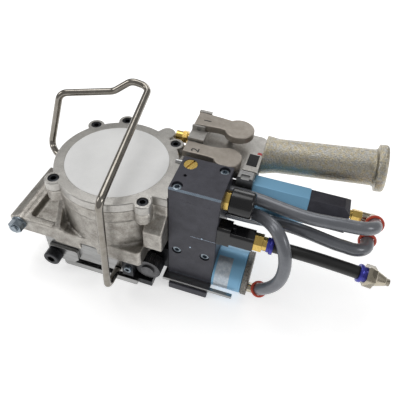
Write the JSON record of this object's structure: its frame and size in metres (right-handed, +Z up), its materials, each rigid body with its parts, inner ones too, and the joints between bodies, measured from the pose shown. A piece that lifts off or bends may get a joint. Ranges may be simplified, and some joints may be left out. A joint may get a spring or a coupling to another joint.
{
  "type": "pneumatic sealless strapping tool",
  "caption": "Air-powered hand tool that tensions, notch-seals and cuts steel strap: vertical sealing cylinder, valve block, two air motors, side handle, levers and lifting bail.",
  "frame": {"origin": "on the underside of the base plate, on the sealing cylinder's axis", "axes": "+Z up along the cylinder's axis, +X along the strap towards the handle's end, +Y away from the operator"},
  "size_m": [0.3662, 0.1625, 0.1736],
  "materials": {
    "tumbled_aluminium": "tumbled casting",
    "rough_aluminium": "rough cast",
    "white_disc": "satin",
    "blackened_steel": "black oxide",
    "bright_steel": "ground",
    "tool_steel": "hardened",
    "black_plate": "satin",
    "grey_anodised": "anodised",
    "blue_enamel": "satin",
    "sintered_grey": "sintered",
    "black_fitting": "gloss",
    "brass": "turned",
    "bearing_bronze": "plain bearing",
    "violet_anodised": "anodised",
    "red_anodised": "anodised",
    "hose_grey": "smooth",
    "tube_black": "smooth",
    "nickel": "plated",
    "stainless": "polished",
    "red_plastic": "gloss",
    "seal_rubber": "moulded"
  },
  "bodies": {
    "frame": {"cylinder_body": "tumbled_aluminium", "cylinder_cover": "tumbled_aluminium", "cover_disc": "white_disc", "cover_screws": "blackened_steel", "rod_bushing": "bearing_bronze", "return_spring": "tool_steel", "base_plate": "bright_steel", "seal_die": "tool_steel", "wheel_counter_plate": "black_plate", "jaw_housing": "bright_steel", "gripper_pin": "blackened_steel", "cross_bolt": "blackened_steel", "wheel_housing": "blackened_steel", "cap_screws": "blackened_steel", "ball_bearings": "bright_steel", "gear_tube": "bright_steel", "lower_motor_casing": "blue_enamel", "exhaust_ring": "sintered_grey", "valve_block": "grey_anodised", "block_cap": "grey_anodised", "base_rail": "bright_steel", "block_foot": "blackened_steel", "lever_housing": "rough_aluminium", "dowel_pins": "bright_steel", "handle_grip": "rough_aluminium", "motor_clamp": "black_fitting", "clamp_bracket": "bright_steel", "upper_motor_casing": "blue_enamel", "upper_motor_end": "grey_anodised", "shaft_housing": "grey_anodised", "hose_elbows": "brass", "hose_collars": "red_anodised", "air_nipple": "nickel", "bail": "stainless", "brass_fittings": "brass", "muffler_cap": "black_fitting", "inlet_body": "black_fitting", "inlet_tube": "tube_black", "hose_1": "hose_grey", "hose_2": "hose_grey", "hose_3": "hose_grey", "tube_collars": "violet_anodised"},
    "sealing_ram": {"sealing_piston": "tumbled_aluminium", "piston_seal": "seal_rubber", "piston_rod": "tool_steel", "seal_punch": "tool_steel", "strap_cutter": "tool_steel"},
    "tension_wheel": {"feed_wheel": "tool_steel", "wheel_shaft": "bright_steel", "bevel_gear": "tool_steel"},
    "tension_rotor": {"lower_motor_rotor": "bright_steel", "bevel_pinion": "tool_steel"},
    "upper_rotor": {"upper_motor_rotor": "bright_steel"},
    "lever_one": {"lever_1": "rough_aluminium"},
    "lever_two": {"lever_2": "rough_aluminium"},
    "stem_one": {"valve_stem_1": "bright_steel"},
    "stem_two": {"valve_stem_2": "bright_steel"},
    "throttle": {"throttle_screw": "brass"},
    "button": {"red_button": "red_plastic"},
    "gripper": {"gripper_lever": "bright_steel"}
  },
  "joints": [
    {"name": "lever_1_press", "type": "hinge", "parent": "frame", "child": "lever_one", "pos_m": [0.064, 0.069, 0.14], "axis": [0, 1, 0], "range_deg": [0, 6], "stiffness_Nm_per_rad": 1.5, "springref_deg": -8.59},
    {"name": "stem_1_slide", "type": "slide", "parent": "frame", "child": "stem_one", "axis": [0, 0, -1], "range_m": [0, 0.0036]},
    {"name": "lever_2_press", "type": "hinge", "parent": "frame", "child": "lever_two", "pos_m": [0.064, 0.032, 0.132], "axis": [0, 1, 0], "range_deg": [0, 2.5], "stiffness_Nm_per_rad": 3, "springref_deg": -4.58},
    {"name": "stem_2_slide", "type": "slide", "parent": "frame", "child": "stem_two", "axis": [0, 0, -1], "range_m": [0, 0.0016]},
    {"name": "sealing_stroke", "type": "slide", "parent": "frame", "child": "sealing_ram", "axis": [0, 0, -1], "range_m": [0, 0.01], "stiffness_N_per_m": 8000, "springref_m": -0.01, "deforming": ["return_spring"]},
    {"name": "feed_wheel_spin", "type": "hinge", "parent": "frame", "child": "tension_wheel", "pos_m": [0.046, -0.0135, 0.024], "axis": [0, 1, 0], "continuous": true},
    {"name": "tension_motor_spin", "type": "hinge", "parent": "frame", "child": "tension_rotor", "pos_m": [0.1, -0.0135, 0.024], "axis": [1, 0, 0], "continuous": true},
    {"name": "upper_motor_spin", "type": "hinge", "parent": "frame", "child": "upper_rotor", "pos_m": [0.15, 0.024, 0.104], "axis": [1, 0, 0], "continuous": true},
    {"name": "throttle_turn", "type": "hinge", "parent": "frame", "child": "throttle", "pos_m": [0.073, 0.003, 0.135], "axis": [0, 0, 1], "range_deg": [-360, 360]},
    {"name": "button_press", "type": "slide", "parent": "frame", "child": "button", "axis": [0, 0, -1], "range_m": [0, 0.0015], "stiffness_N_per_m": 400, "springref_m": -0.002},
    {"name": "gripper_lift", "type": "hinge", "parent": "frame", "child": "gripper", "pos_m": [-0.057, -0.052, 0.0195], "axis": [0, -1, 0], "range_deg": [0, 8], "stiffness_Nm_per_rad": 0.8, "springref_deg": -11.46}
  ],
  "couplings": [
    {"joint": "stem_1_slide", "follows": "lever_1_press", "m_per_rad": 0.032},
    {"joint": "stem_2_slide", "follows": "lever_2_press", "m_per_rad": 0.032},
    {"joint": "tension_motor_spin", "follows": "feed_wheel_spin", "ratio": -2}
  ]
}
